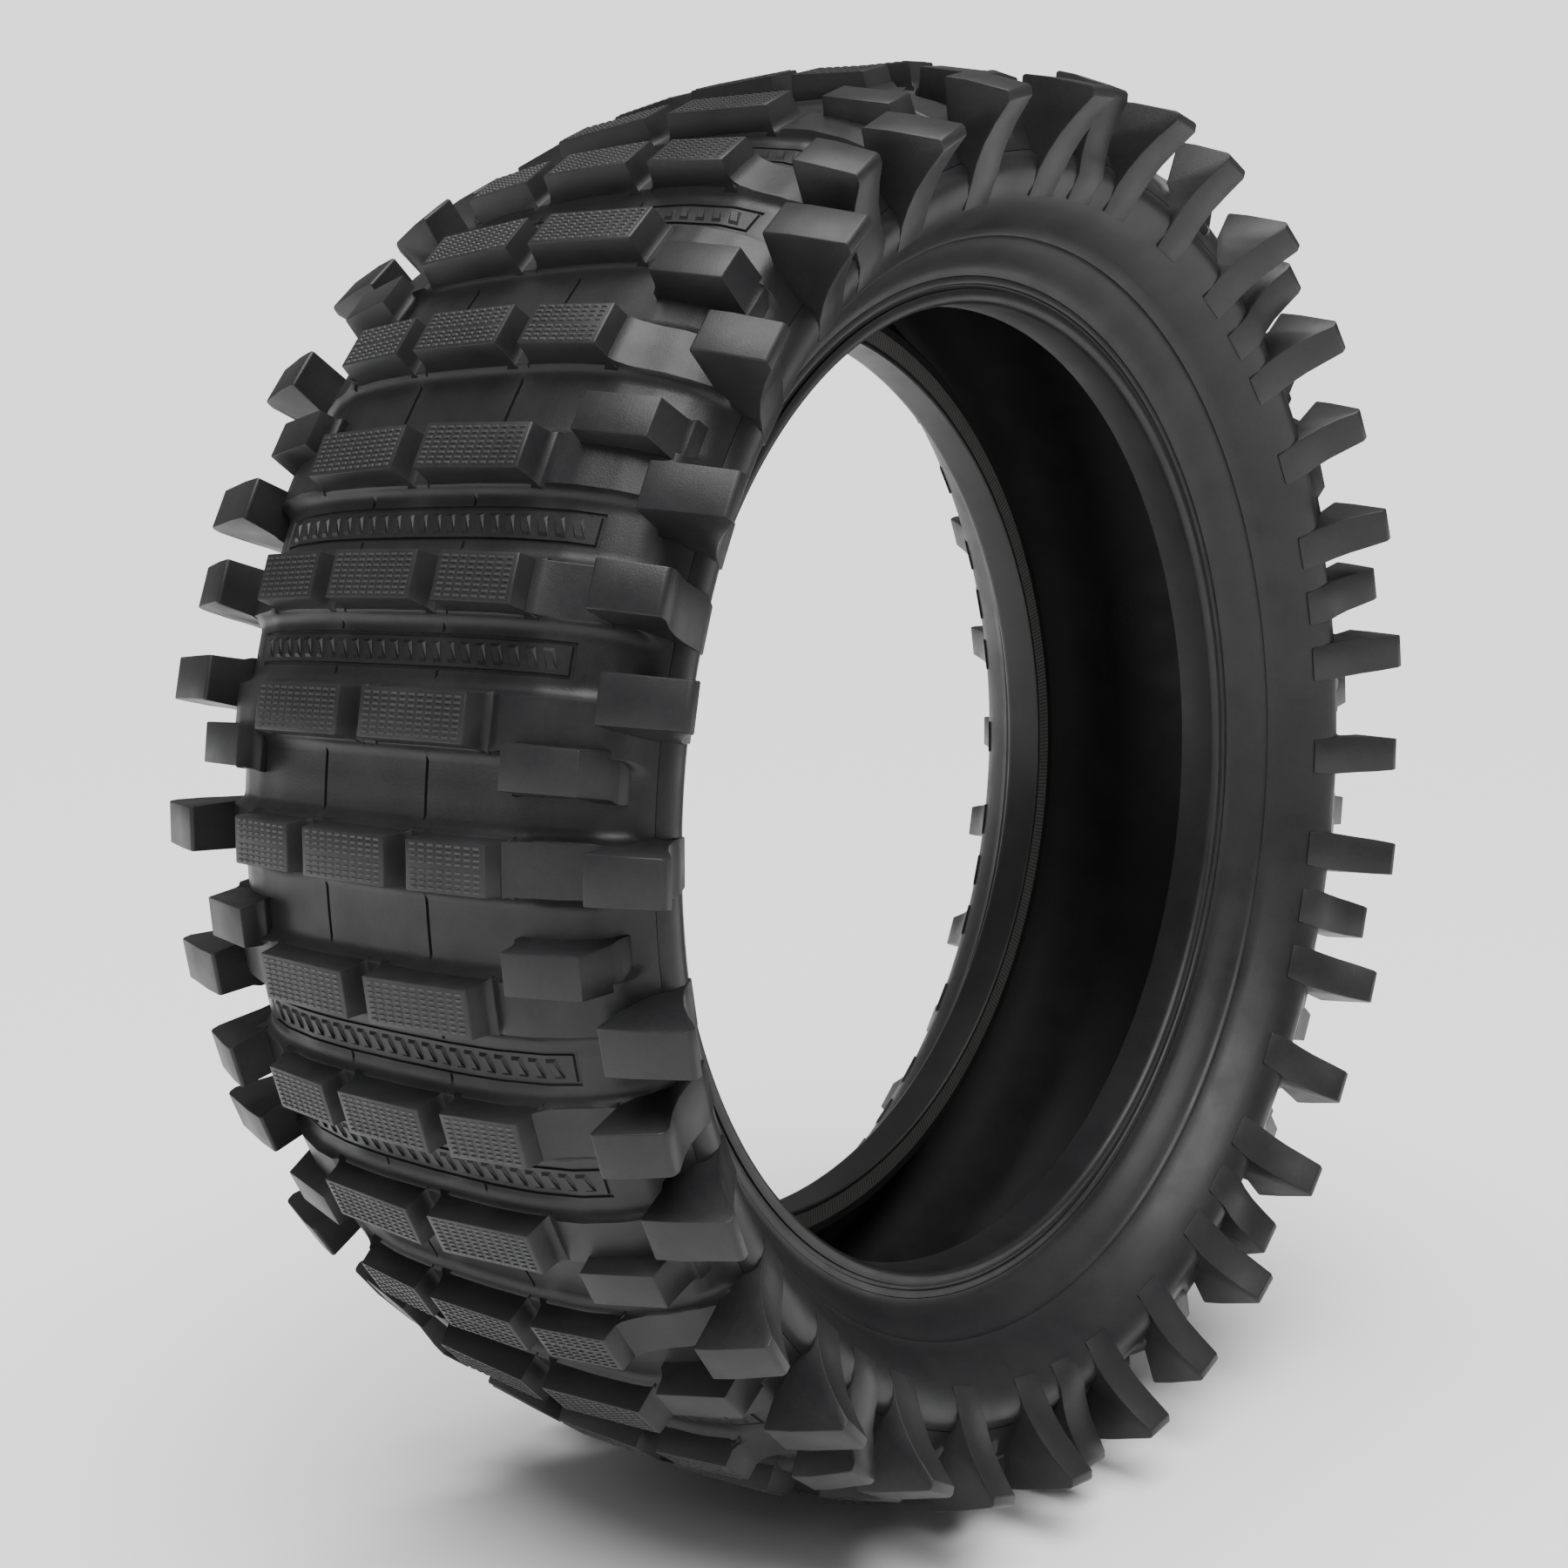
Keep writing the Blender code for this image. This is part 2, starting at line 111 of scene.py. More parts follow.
# Shapes in one repeat of the tread


def along_base(width):
    """Radius of the rubber between the knobs, and the outward direction there."""
    widths = [point[0] for point in BASE_LINE]
    radii = [point[1] for point in BASE_LINE]
    near = abs(width)
    radius = float(np.interp(near, widths, radii))
    step = 3.0
    before = float(np.interp(max(near - step, 0.0), widths, radii))
    after = float(np.interp(min(near + step, widths[-1]), widths, radii))
    rise = (after - before) / (min(near + step, widths[-1]) - max(near - step, 0.0))
    out = np.array([-rise, 1.0]) / math.hypot(rise, 1.0)
    if width < 0.0:
        out[0] = -out[0]
    return radius, out


def place(angle, run, width, radius):
    """A point on the tyre. The angle goes from -Z by way of -X, and run is the way it grows."""
    turn = math.radians(angle)
    return (
        (-radius * math.sin(turn) - run * math.cos(turn)) * MM,
        width * SPREAD * MM,
        (-radius * math.cos(turn) + run * math.sin(turn)) * MM,
    )


def knob_top(width):
    return CROWN_RADIUS - width * width / (2.0 * CROWN_ARC)


def smooth(share):
    share = min(max(share, 0.0), 1.0)
    return share * share * (3.0 - 2.0 * share)


def bar_top(row, width):
    """Height of the bar that ties a row's knobs together, at a width."""
    near = abs(width)
    fade = 1.0 - smooth((near - 96.0) / 8.0)
    if row == "spaced":
        rise = smooth((near - 56.5) / 3.0)
        return (BAR_HEIGHT + (PAD_HEIGHT - BAR_HEIGHT) * rise) * fade
    shoulder = WIDE_SHOULDER[0] if row == "wide" else NARROW_SHOULDER[0]
    start = OUTER_SPAN[1] - 1.0
    if start < near < shoulder + 1.0:
        middle = (start + shoulder + 1.0) / 2.0
        share = (near - middle) / (shoulder + 1.0 - middle)
        return BAR_HEIGHT + SADDLE_DEPTH * (1.0 - math.sqrt(max(0.0, 1.0 - share**4)))
    return BAR_HEIGHT * fade


ROWS = (
    ("wide", 0.0),
    ("spaced", SPACED_ROW),
    ("spaced", -SPACED_ROW),
    ("narrow", NARROW_ROW),
    ("narrow", -NARROW_ROW),
)


def arc_length(angle):
    return math.radians(angle) * BASE_RADIUS


def base_height(angle, width):
    """How far the moulded base stands above or below its own line."""
    height = 0.0
    reach = BAR_HALF_LENGTH + FILLET_RADIUS
    for row, at in ROWS:
        away = abs(arc_length(angle - at))
        if away >= reach:
            continue
        top = bar_top(row, width)
        if away > BAR_HALF_LENGTH:
            rest = reach - away
            top = min(top, FILLET_RADIUS - math.sqrt(FILLET_RADIUS**2 - rest**2))
        height = max(height, top)
    if height > 0.05:
        return height
    near = abs(width)
    from_panel = abs(arc_length(abs(angle) - PANEL_ANGLE))
    beside = from_panel < PANEL_HALF_HEIGHT + FRAME_MARGIN
    if beside and near < PANEL_HALF_WIDTH + FRAME_MARGIN:
        on_side = abs(from_panel - PANEL_HALF_HEIGHT) < FRAME_LINE
        on_end = abs(near - PANEL_HALF_WIDTH) < FRAME_LINE
        within = from_panel < PANEL_HALF_HEIGHT + FRAME_LINE
        within = within and near < PANEL_HALF_WIDTH + FRAME_LINE
        return -FRAME_DEPTH if within and (on_side or on_end) else 0.0
    if abs(near - GROOVE_WIDTH) < GROOVE_HALF:
        return -GROOVE_DEPTH
    return 0.0


def tread_widths():
    half = [0.0, 7.0, 14.0, 20.0, 25.0]
    half += [GROOVE_WIDTH - 0.7, GROOVE_WIDTH - 0.5, GROOVE_WIDTH + 0.5, GROOVE_WIDTH + 0.7]
    half += [28.0, 34.0, 40.0, 46.0, 52.0, 56.0, 57.3, 58.6, 60.0, 63.0, 65.5]
    half += [67.0, 68.6, 70.5, 73.5, 77.0]
    half += [80.1, 80.6, 81.4, 81.9]
    half += [84.0, 86.5, 88.5, 90.5, 92.2, 94.0, 95.6, 97.2, 98.8, 100.4, 101.8, 103.2]
    half += [104.3, 105.0]
    return [-width for width in half[:0:-1]] + half


def tread_angles():
    """Angles of one repeat, close together where a bar's fillet or a panel's frame needs them."""
    from_row = [0.0, 9.7, 9.98, 10.15, 10.6, 11.3, 12.4, 13.9, 15.9]
    spots = set()
    for _, at in ROWS:
        for away in from_row:
            for way in (-1.0, 1.0):
                spots.add(round(arc_length(at) + way * away, 3))
    panel = arc_length(PANEL_ANGLE)
    for step in (-0.8, -0.5, 0.5, 0.8):
        for way in (-1.0, 1.0):
            edge = panel + way * (PANEL_HALF_HEIGHT + step)
            spots.update((round(edge, 3), round(-edge, 3)))
    spots.update((panel, -panel, 22.0, -22.0, 29.0, -29.0))
    limit = arc_length(NARROW_ROW)
    ordered = sorted(spot for spot in spots if abs(spot) < limit - 0.05)
    kept = [-limit]
    for spot in ordered + [limit]:
        if spot - kept[-1] > 0.16:
            kept.append(spot)
    kept[-1] = limit
    return [math.degrees(spot / BASE_RADIUS) for spot in kept]


def mesh_of(name, points, faces):
    mesh = bpy.data.meshes.new(name)
    mesh.from_pydata(points, [], faces)
    mesh.update()
    return mesh


def tread_base_repeat():
    """The moulded base over one repeat: bars, fillets, saddles, grooves, panels and inside."""
    inside = [(91.6, 290.0), (87.0, 297.4), (44.7, 312.6), (0.0, 312.6)]
    inside += [(-width, radius) for width, radius in inside[-2::-1]]
    widths = tread_widths()
    points = []
    angles = tread_angles()
    for angle in angles:
        for width in widths:
            radius, out = along_base(width)
            height = base_height(angle, width)
            wide = width + out[0] * height
            points.append(place(FIRST_ROW + angle, 0.0, wide, radius + out[1] * height))
        for width, radius in inside:
            points.append(place(FIRST_ROW + angle, 0.0, width, radius))
    across = len(widths) + len(inside)
    faces = []
    for row in range(len(angles) - 1):
        for spot in range(across):
            after = (spot + 1) % across
            low = row * across
            high = low + across
            faces.append((low + spot, high + spot, high + after, low + after))
    return mesh_of("tread_base_repeat", points, faces)


def prism(points, faces, angle, outline):
    """A block whose section along the tread is an outline of (width, radius, half length)."""
    start = len(points)
    count = len(outline)
    for way in (-1.0, 1.0):
        for width, radius, half in outline:
            points.append(place(FIRST_ROW + angle, way * half, width, radius))
    area = sum(
        a[0] * b[1] - b[0] * a[1] for a, b in zip(outline, outline[1:] + outline[:1])
    )
    first = list(range(start, start + count))
    second = list(range(start + count, start + 2 * count))
    if area < 0.0:
        first.reverse()
        second.reverse()
    faces.append(tuple(first[::-1]))
    faces.append(tuple(second))
    for spot in range(count):
        after = (spot + 1) % count
        faces.append((first[spot], first[after], second[after], second[spot]))


def crown_outline(span, radii, half):
    """A crown knob with a small concave foot where it leaves its bar."""
    left, right = span
    section = []
    for edge, way in ((left, -1.0), (right, 1.0)):
        base = along_base(edge)[0]
        top = radii[0] if way < 0.0 else radii[1]
        wall = [
            (edge + way * 2.6, base - 4.0, half + 2.4),
            (edge + way * 2.5, base + BAR_HEIGHT - 0.4, half + 2.2),
            (edge + way * 1.3, base + BAR_HEIGHT + 1.1, half + 1.1),
            (edge + way * 0.8, base + BAR_HEIGHT + 3.0, half + 0.7),
            (edge, top - KNURL_RISE, half),
        ]
        section += wall if way < 0.0 else wall[::-1]
    return section


def mirror_outline(outline):
    return [(-width, radius, half) for width, radius, half in outline[::-1]]


def shoulder_outline(shoulder, row_rise):
    """A shoulder knob: level inner part, a crease, a falling outer part and a fin on the wall."""
    inner, outer, radius = shoulder
    base = along_base(inner)[0]
    crease = inner + 0.36 * (outer - inner)
    half = KNOB_HALF_LENGTH
    top = [
        (inner - 2.6, base - 5.0, half + 2.0),
        (inner - 2.2, base + row_rise, half + 1.9),
        (inner - 0.9, base + row_rise + 3.0, half + 0.8),
        (inner + 0.6, radius + 8.9, half - 0.1),
        (inner + 1.6, radius + 9.6, half - 0.2),
        (crease, radius + 7.0, half - 0.3),
        (outer - 1.0, radius + 0.3, half - 0.6),
        (outer, radius - 1.2, half - 0.5),
        (outer - 0.4, radius - 4.5, half - 0.3),
    ]
    tip_width, tip_radius, _ = top[-1]
    for share in (0.25, 0.5, 0.75, 1.0):
        hollow = FIN_HOLLOW * math.sin(math.pi * share)
        width = tip_width + share * (WALL_FOOT[0] - tip_width) - hollow
        level = tip_radius + share * (WALL_FOOT[1] - tip_radius)
        top.append((width, level, half + 0.2 + 0.9 * share))
    top += [(102.0, 270.0, half), (96.0, 279.0, half), (90.0, 295.0, half + 1.0)]
    return top


def knob_repeat():
    points = []
    faces = []
    for row in (0.0, NARROW_ROW):
        level = (CROWN_RADIUS, CROWN_RADIUS)
        prism(points, faces, row, crown_outline(CENTRE_SPAN, level, KNOB_HALF_LENGTH))
        falling = [knob_top(width) for width in OUTER_SPAN]
        outline = crown_outline(OUTER_SPAN, falling, KNOB_HALF_LENGTH)
        prism(points, faces, row, outline)
        prism(points, faces, row, mirror_outline(outline))
    for row in (-SPACED_ROW, SPACED_ROW):
        falling = [knob_top(width) for width in SPACED_SPAN]
        outline = crown_outline(SPACED_SPAN, falling, KNOB_HALF_LENGTH)
        prism(points, faces, row, outline)
        prism(points, faces, row, mirror_outline(outline))
    for row in (-LINK_ROW, LINK_ROW):
        outline = crown_outline(LINK_SPAN, LINK_RADII, LINK_HALF_LENGTH)
        prism(points, faces, row, outline)
        prism(points, faces, row, mirror_outline(outline))
    return mesh_of("knob_repeat", points, faces)


def shoulder_repeat():
    points = []
    faces = []
    for row, shoulder, rise in (
        (0.0, WIDE_SHOULDER, BAR_HEIGHT),
        (NARROW_ROW, NARROW_SHOULDER, BAR_HEIGHT),
        (SPACED_SHOULDER_ROW, SPACED_SHOULDER, PAD_HEIGHT),
        (-SPACED_SHOULDER_ROW, SPACED_SHOULDER, PAD_HEIGHT),
    ):
        outline = shoulder_outline(shoulder, rise)
        prism(points, faces, row, outline)
        prism(points, faces, row, mirror_outline(outline))
    return mesh_of("shoulder_repeat", points, faces)


def dash(points, faces, angle, run, width, radius, half_width, half_run, rise, slant=0.0):
    """A small raised bar with sloping sides, lying on a surface at that radius."""
    start = len(points)
    for level, shrink in ((-0.4, 1.0), (rise, 0.62)):
        for way_run in (-1.0, 1.0):
            for way in (-1.0, 1.0):
                wide = width + way * half_width * shrink + slant * way_run
                fall = radius(wide) + level
                at = run + way_run * half_run * shrink
                points.append(place(FIRST_ROW + angle, at, wide, fall))
    for face in (
        (0, 1, 3, 2),
        (4, 6, 7, 5),
        (0, 4, 5, 1),
        (2, 3, 7, 6),
        (0, 2, 6, 4),
        (1, 5, 7, 3),
    ):
        faces.append(tuple(start + corner for corner in face))


def knurl_repeat():
    """Rows of short raised dashes on the tops of the crown knobs."""
    points = []
    faces = []

    def cover(angle, span, split, flat=False):
        ends = [CROWN_RADIUS if flat else knob_top(edge) for edge in span]

        def radius(width):
            return float(np.interp(width, span, ends)) - KNURL_RISE

        columns = max(2, round((span[1] - span[0] - 3.0) / KNURL_COLUMN_PITCH))
        pitch = (span[1] - span[0] - 2.6) / columns
        for line in range(KNURL_LINES):
            run = ((KNURL_LINES - 1) / 2.0 - line) * KNURL_LINE_PITCH
            if split:
                run += 0.45 if line < KNURL_LINES / 2 else -0.45
            for column in range(columns):
                width = span[0] + 1.3 + (column + 0.5) * pitch
                dash(points, faces, angle, run, width, radius, 0.4 * pitch, 0.66, KNURL_RISE)

    for row in (0.0, NARROW_ROW):
        split = row == 0.0
        cover(row, CENTRE_SPAN, split, True)
        cover(row, OUTER_SPAN, split)
        cover(row, (-OUTER_SPAN[1], -OUTER_SPAN[0]), split)
    for row in (-SPACED_ROW, SPACED_ROW):
        cover(row, SPACED_SPAN, False)
        cover(row, (-SPACED_SPAN[1], -SPACED_SPAN[0]), False)
    return mesh_of("knurl_repeat", points, faces)


def panel_repeat():
    """Plain slanted bars inside each framed panel between the rows."""
    points = []
    faces = []

    def surface(width):
        return along_base(width)[0]

    pitch = 2.0 * (PANEL_HALF_WIDTH - PANEL_BAR_INSET) / PANEL_BARS
    for angle in (-PANEL_ANGLE, PANEL_ANGLE):
        for spot in range(PANEL_BARS):
            width = -PANEL_HALF_WIDTH + PANEL_BAR_INSET + (spot + 0.5) * pitch
            dash(points, faces, angle, 0.0, width, surface, 0.3 * pitch, 4.4, 0.9, 1.1)
    return mesh_of("panel_repeat", points, faces)


# Geometry Nodes


def ring_tree():
    """One repeat, copied round the wheel's axis and joined where the copies meet."""
    tree = bpy.data.node_groups.new("Repeat round the axle", "GeometryNodeTree")
    sockets = tree.interface
    sockets.new_socket("Geometry", in_out="INPUT", socket_type="NodeSocketGeometry")
    sockets.new_socket("Repeats", in_out="INPUT", socket_type="NodeSocketInt")
    sockets.new_socket("Finish", in_out="INPUT", socket_type="NodeSocketMaterial")
    sockets.new_socket("Geometry", in_out="OUTPUT", socket_type="NodeSocketGeometry")
    add = tree.nodes.new
    join = tree.links.new
    source = add("NodeGroupInput")
    result = add("NodeGroupOutput")
    spots = add("GeometryNodeMeshLine")
    spots.mode = "OFFSET"
    spots.inputs["Offset"].default_value = (0.0, 0.0, 0.0)
    index = add("GeometryNodeInputIndex")
    step = add("ShaderNodeMath")
    step.operation = "DIVIDE"
    step.inputs[0].default_value = 2.0 * math.pi
    angle = add("ShaderNodeMath")
    angle.operation = "MULTIPLY"
    turn = add("ShaderNodeCombineXYZ")
    copies = add("GeometryNodeInstanceOnPoints")
    real = add("GeometryNodeRealizeInstances")
    weld = add("GeometryNodeMergeByDistance")
    weld.inputs["Distance"].default_value = 0.00002
    finish = add("GeometryNodeSetMaterial")
    join(source.outputs["Repeats"], spots.inputs["Count"])
    join(source.outputs["Repeats"], step.inputs[1])
    join(index.outputs[0], angle.inputs[0])
    join(step.outputs[0], angle.inputs[1])
    join(angle.outputs[0], turn.inputs["Y"])
    join(spots.outputs["Mesh"], copies.inputs["Points"])
    join(source.outputs["Geometry"], copies.inputs["Instance"])
    join(turn.outputs["Vector"], copies.inputs["Rotation"])
    join(copies.outputs["Instances"], real.inputs["Geometry"])
    join(real.outputs["Geometry"], weld.inputs["Geometry"])
    join(weld.outputs["Geometry"], finish.inputs["Geometry"])
    join(source.outputs["Finish"], finish.inputs["Material"])
    join(finish.outputs["Geometry"], result.inputs["Geometry"])
    return tree


def input_id(tree, name):
    for item in tree.interface.items_tree:
        if item.name == name and item.in_out == "INPUT":
            return item.identifier
    return None


def plain(obj, name):
    """The object's evaluated shape as a plain mesh object, and the first object removed."""
    graph = bpy.context.evaluated_depsgraph_get()
    mesh = bpy.data.meshes.new_from_object(obj.evaluated_get(graph))
    mesh.name = name
    bpy.data.objects.remove(obj)
    made = bpy.data.objects.new(name, mesh)
    bpy.context.scene.collection.objects.link(made)
    return made


def smoothed(obj, angle):
    obj.data.shade_smooth()
    obj.data.set_sharp_from_angle(angle=math.radians(angle))


def ring_of(name, mesh, finish, angle, bevel=None):
    """A piece made of one repeat's mesh, bevelled and then repeated round the axle."""
    obj = bpy.data.objects.new(name + "_repeat", mesh)
    bpy.context.scene.collection.objects.link(obj)
    if bevel:
        edge = obj.modifiers.new("Edge radius", "BEVEL")
        edge.width = bevel * MM
        edge.segments = 2
        edge.limit_method = "ANGLE"
        edge.angle_limit = math.radians(28.0)
    nodes = obj.modifiers.new("Repeat", "NODES")
    nodes.node_group = RING_TREE
    nodes[input_id(RING_TREE, "Repeats")] = REPEATS
    nodes[input_id(RING_TREE, "Finish")] = finish
    made = plain(obj, name)
    smoothed(made, angle)
    return made


def turned(name, outline, finish, steps=240):
    """A ring turned from a closed outline of (width, radius) points."""
    area = sum(
        a[0] * b[1] - b[0] * a[1] for a, b in zip(outline, outline[1:] + outline[:1])
    )
    if area > 0.0:
        outline = outline[::-1]
    count = len(outline)
    points = []
    for step in range(steps):
        for width, radius in outline:
            points.append(place(360.0 * step / steps, 0.0, width, radius))
    faces = []
    for step in range(steps):
        low = step * count
        high = (step + 1) % steps * count
        for spot in range(count):
            after = (spot + 1) % count
            faces.append((low + spot, high + spot, high + after, low + after))
    made = bpy.data.objects.new(name, mesh_of(name, points, faces))
    bpy.context.scene.collection.objects.link(made)
    made.data.materials.append(finish)
    smoothed(made, 40.0)
    return made


def rounded(line, rounds=2):
    """An open line with its corners cut, so that it bends gently."""
    for _ in range(rounds):
        cut = [line[0]]
        for a, b in zip(line, line[1:]):
            cut.append((0.75 * a[0] + 0.25 * b[0], 0.75 * a[1] + 0.25 * b[1]))
            cut.append((0.25 * a[0] + 0.75 * b[0], 0.25 * a[1] + 0.75 * b[1]))
        cut.append(line[-1])
        line = cut
    return line


# Finishes


class Finish:
    """A procedural finish on a Principled shader, patterned by the place on the tyre."""

    def __init__(self, name, roughness):
        self.material = bpy.data.materials.new(name)
        self.material.use_nodes = True
        self.tree = self.material.node_tree
        self.shader = self.tree.nodes["Principled BSDF"]
        self.shader.inputs["Roughness"].default_value = roughness
        self.place = self.tree.nodes.new("ShaderNodeTexCoord").outputs["Object"]

    def node(self, kind, **settings):
        made = self.tree.nodes.new(kind)
        for key, value in settings.items():
            setattr(made, key, value)
        return made

    def link(self, source, target):
        self.tree.links.new(source, target)

    def noise(self, per_metre, detail=3.0, rough=0.55, stretch=None):
        made = self.node("ShaderNodeTexNoise")
        made.inputs["Scale"].default_value = per_metre
        made.inputs["Detail"].default_value = detail
        made.inputs["Roughness"].default_value = rough
        source = self.place
        if stretch:
            mapping = self.node("ShaderNodeMapping")
            mapping.inputs["Scale"].default_value = stretch
            self.link(source, mapping.inputs["Vector"])
            source = mapping.outputs["Vector"]
        self.link(source, made.inputs["Vector"])
        return made.outputs["Fac"]

    def ramp(self, source, stops):
        made = self.node("ShaderNodeValToRGB")
        ramp = made.color_ramp
        for spot, (at, colour) in enumerate(stops):
            mark = ramp.elements[spot] if spot < 2 else ramp.elements.new(at)
            mark.position = at
            mark.color = (*colour, 1.0)
        self.link(source, made.inputs["Fac"])
        return made.outputs["Color"]

    def spread(self, source, low, high, start=0.3, end=0.7):
        made = self.node("ShaderNodeMapRange")
        made.inputs["From Min"].default_value = start
        made.inputs["From Max"].default_value = end
        made.inputs["To Min"].default_value = low
        made.inputs["To Max"].default_value = high
        self.link(source, made.inputs["Value"])
        return made.outputs["Result"]

    def sum(self, first, second, share):
        made = self.node("ShaderNodeMath", operation="MULTIPLY_ADD")
        self.link(second, made.inputs[0])
        made.inputs[1].default_value = share
        self.link(first, made.inputs[2])
        return made.outputs[0]

    def bump(self, source, strength, depth):
        made = self.node("ShaderNodeBump")
        made.inputs["Strength"].default_value = strength
        made.inputs["Distance"].default_value = depth
        self.link(source, made.inputs["Height"])
        self.link(made.outputs["Normal"], self.shader.inputs["Normal"])


def rubber(name, dark, light, roughness, grain=0.35):
    """Moulded rubber: a fine pebbled skin, faint cloudy bloom and uneven gloss."""
    finish = Finish(name, roughness)
    cloud = finish.noise(18.0, 4.0, 0.6)
    speck = finish.noise(420.0, 2.0, 0.5)
    both = finish.sum(cloud, speck, 0.35)
    colour = finish.ramp(both, [(0.45, dark), (0.95, light)])
    finish.link(colour, finish.shader.inputs["Base Color"])
    gloss = finish.spread(finish.noise(45.0, 3.0), roughness - 0.07, roughness + 0.07)
    finish.link(gloss, finish.shader.inputs["Roughness"])
    pebble = finish.noise(1500.0, 2.0, 0.6)
    ripple = finish.noise(120.0, 2.0, 0.5)
    finish.bump(finish.sum(pebble, ripple, 0.8), grain, 0.00022)
    finish.shader.inputs["Specular IOR Level"].default_value = 0.32
    return finish.material


def turned_position(finish):
    """Angle round the axle and the width, for cords and weave."""
    split = finish.node("ShaderNodeSeparateXYZ")
    finish.link(finish.place, split.inputs[0])
    angle = finish.node("ShaderNodeMath", operation="ARCTAN2")
    finish.link(split.outputs["Z"], angle.inputs[0])
    finish.link(split.outputs["X"], angle.inputs[1])
    return angle.outputs[0], split.outputs["Y"]


def cord_fabric(name, dark, light, lean):
    """Rubber-coated cord: fine parallel cords that run across the tyre at a bias angle."""
    finish = Finish(name, 0.75)
    angle, width = turned_position(finish)
    slanted = finish.sum(angle, width, lean)
    wave = finish.node("ShaderNodeMath", operation="MULTIPLY")
    finish.link(slanted, wave.inputs[0])
    wave.inputs[1].default_value = 900.0
    sine = finish.node("ShaderNodeMath", operation="SINE")
    finish.link(wave.outputs[0], sine.inputs[0])
    worn = finish.sum(sine.outputs[0], finish.noise(60.0), 1.2)
    colour = finish.ramp(finish.spread(worn, 0.0, 1.0, -0.6, 1.6), [(0.0, dark), (1.0, light)])
    finish.link(colour, finish.shader.inputs["Base Color"])
    finish.bump(sine.outputs[0], 0.5, 0.0002)
    return finish.material


def woven_fabric(name, dark, light):
    """Plain weave under a thin rubber coat, for the strips round the beads."""
    finish = Finish(name, 0.8)
    angle, width = turned_position(finish)
    threads = []
    for source, count in ((angle, 700.0), (width, 3000.0)):
        wave = finish.node("ShaderNodeMath", operation="MULTIPLY")
        finish.link(source, wave.inputs[0])
        wave.inputs[1].default_value = count
        sine = finish.node("ShaderNodeMath", operation="SINE")
        finish.link(wave.outputs[0], sine.inputs[0])
        threads.append(sine.outputs[0])
    weave = finish.node("ShaderNodeMath", operation="MULTIPLY")
    finish.link(threads[0], weave.inputs[0])
    finish.link(threads[1], weave.inputs[1])
    worn = finish.sum(weave.outputs[0], finish.noise(80.0), 0.9)
    colour = finish.ramp(finish.spread(worn, 0.0, 1.0, -0.6, 1.4), [(0.0, dark), (1.0, light)])
    finish.link(colour, finish.shader.inputs["Base Color"])
    finish.bump(weave.outputs[0], 0.4, 0.0002)
    return finish.material


def bead_wire(name):
    """Bronze-coated steel wire laid round the hoop, so fine grooves run along it."""
    finish = Finish(name, 0.35)
    finish.shader.inputs["Metallic"].default_value = 0.9
    radius = finish.noise(2400.0, 1.0, 0.4, stretch=(0.08, 1.0, 0.08))
    colour = finish.ramp(radius, [(0.3, (0.40, 0.30, 0.16)), (0.7, (0.66, 0.54, 0.34))])
    finish.link(colour, finish.shader.inputs["Base Color"])
    finish.link(finish.spread(radius, 0.28, 0.46), finish.shader.inputs["Roughness"])
    finish.bump(radius, 0.4, 0.0003)
    return finish.material


# The knurl dashes get a lighter base colour than the knob rubber: a painted highlight on the dash
# tops
KNURL_PAINTED_HIGHLIGHT_RUBBER = rubber("knurl rubber painted highlight", (0.028, 0.028, 0.029), (0.045, 0.045, 0.046), 0.40, 0.1)
TREAD_RUBBER = rubber("tread rubber", (0.010, 0.010, 0.011), (0.020, 0.020, 0.021), 0.40)
KNOB_RUBBER = rubber("knob rubber", (0.011, 0.011, 0.012), (0.021, 0.021, 0.022), 0.42)
WALL_RUBBER = rubber("wall rubber", (0.009, 0.009, 0.010), (0.018, 0.018, 0.019), 0.42, 0.25)
RIM_RUBBER = rubber("rim strip rubber", (0.009, 0.009, 0.010), (0.017, 0.017, 0.018), 0.38, 0.2)
LINER_RUBBER = rubber("liner rubber", (0.006, 0.006, 0.0065), (0.011, 0.011, 0.012), 0.5, 0.3)
CUSHION_RUBBER = rubber("cushion rubber", (0.030, 0.028, 0.026), (0.050, 0.047, 0.044), 0.68)
FILLER_RUBBER = rubber("filler rubber", (0.032, 0.030, 0.028), (0.052, 0.048, 0.044), 0.6)
PLY_CORD = cord_fabric("ply cord", (0.06, 0.05, 0.035), (0.19, 0.145, 0.10), 6.0)
BREAKER_CORD = cord_fabric("breaker cord", (0.07, 0.055, 0.04), (0.20, 0.15, 0.10), -6.0)
CHAFER_WEAVE = woven_fabric("chafer weave", (0.02, 0.02, 0.02), (0.07, 0.068, 0.062))
WRAP_WEAVE = woven_fabric("bead wrap weave", (0.08, 0.075, 0.065), (0.24, 0.23, 0.21))
CORE_WIRE = bead_wire("bead wire")

INNER_FINISHES = {
    "undertread": CUSHION_RUBBER,
    "shoulder_wedge": CUSHION_RUBBER,
    "breaker": BREAKER_CORD,
    "casing_ply": PLY_CORD,
    "bead_wrap": WRAP_WEAVE,
    "bead_filler": FILLER_RUBBER,
    "bead_core": CORE_WIRE,
}

for name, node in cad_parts.items():
    for start, finish in INNER_FINISHES.items():
        if name.startswith(start):
            node.data.materials.clear()
            node.data.materials.append(finish)


# Visible pieces

RING_TREE = ring_tree()


def keep(obj, slot, *nodes):
    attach(obj, "root")
    if nodes:
        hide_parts(*nodes)


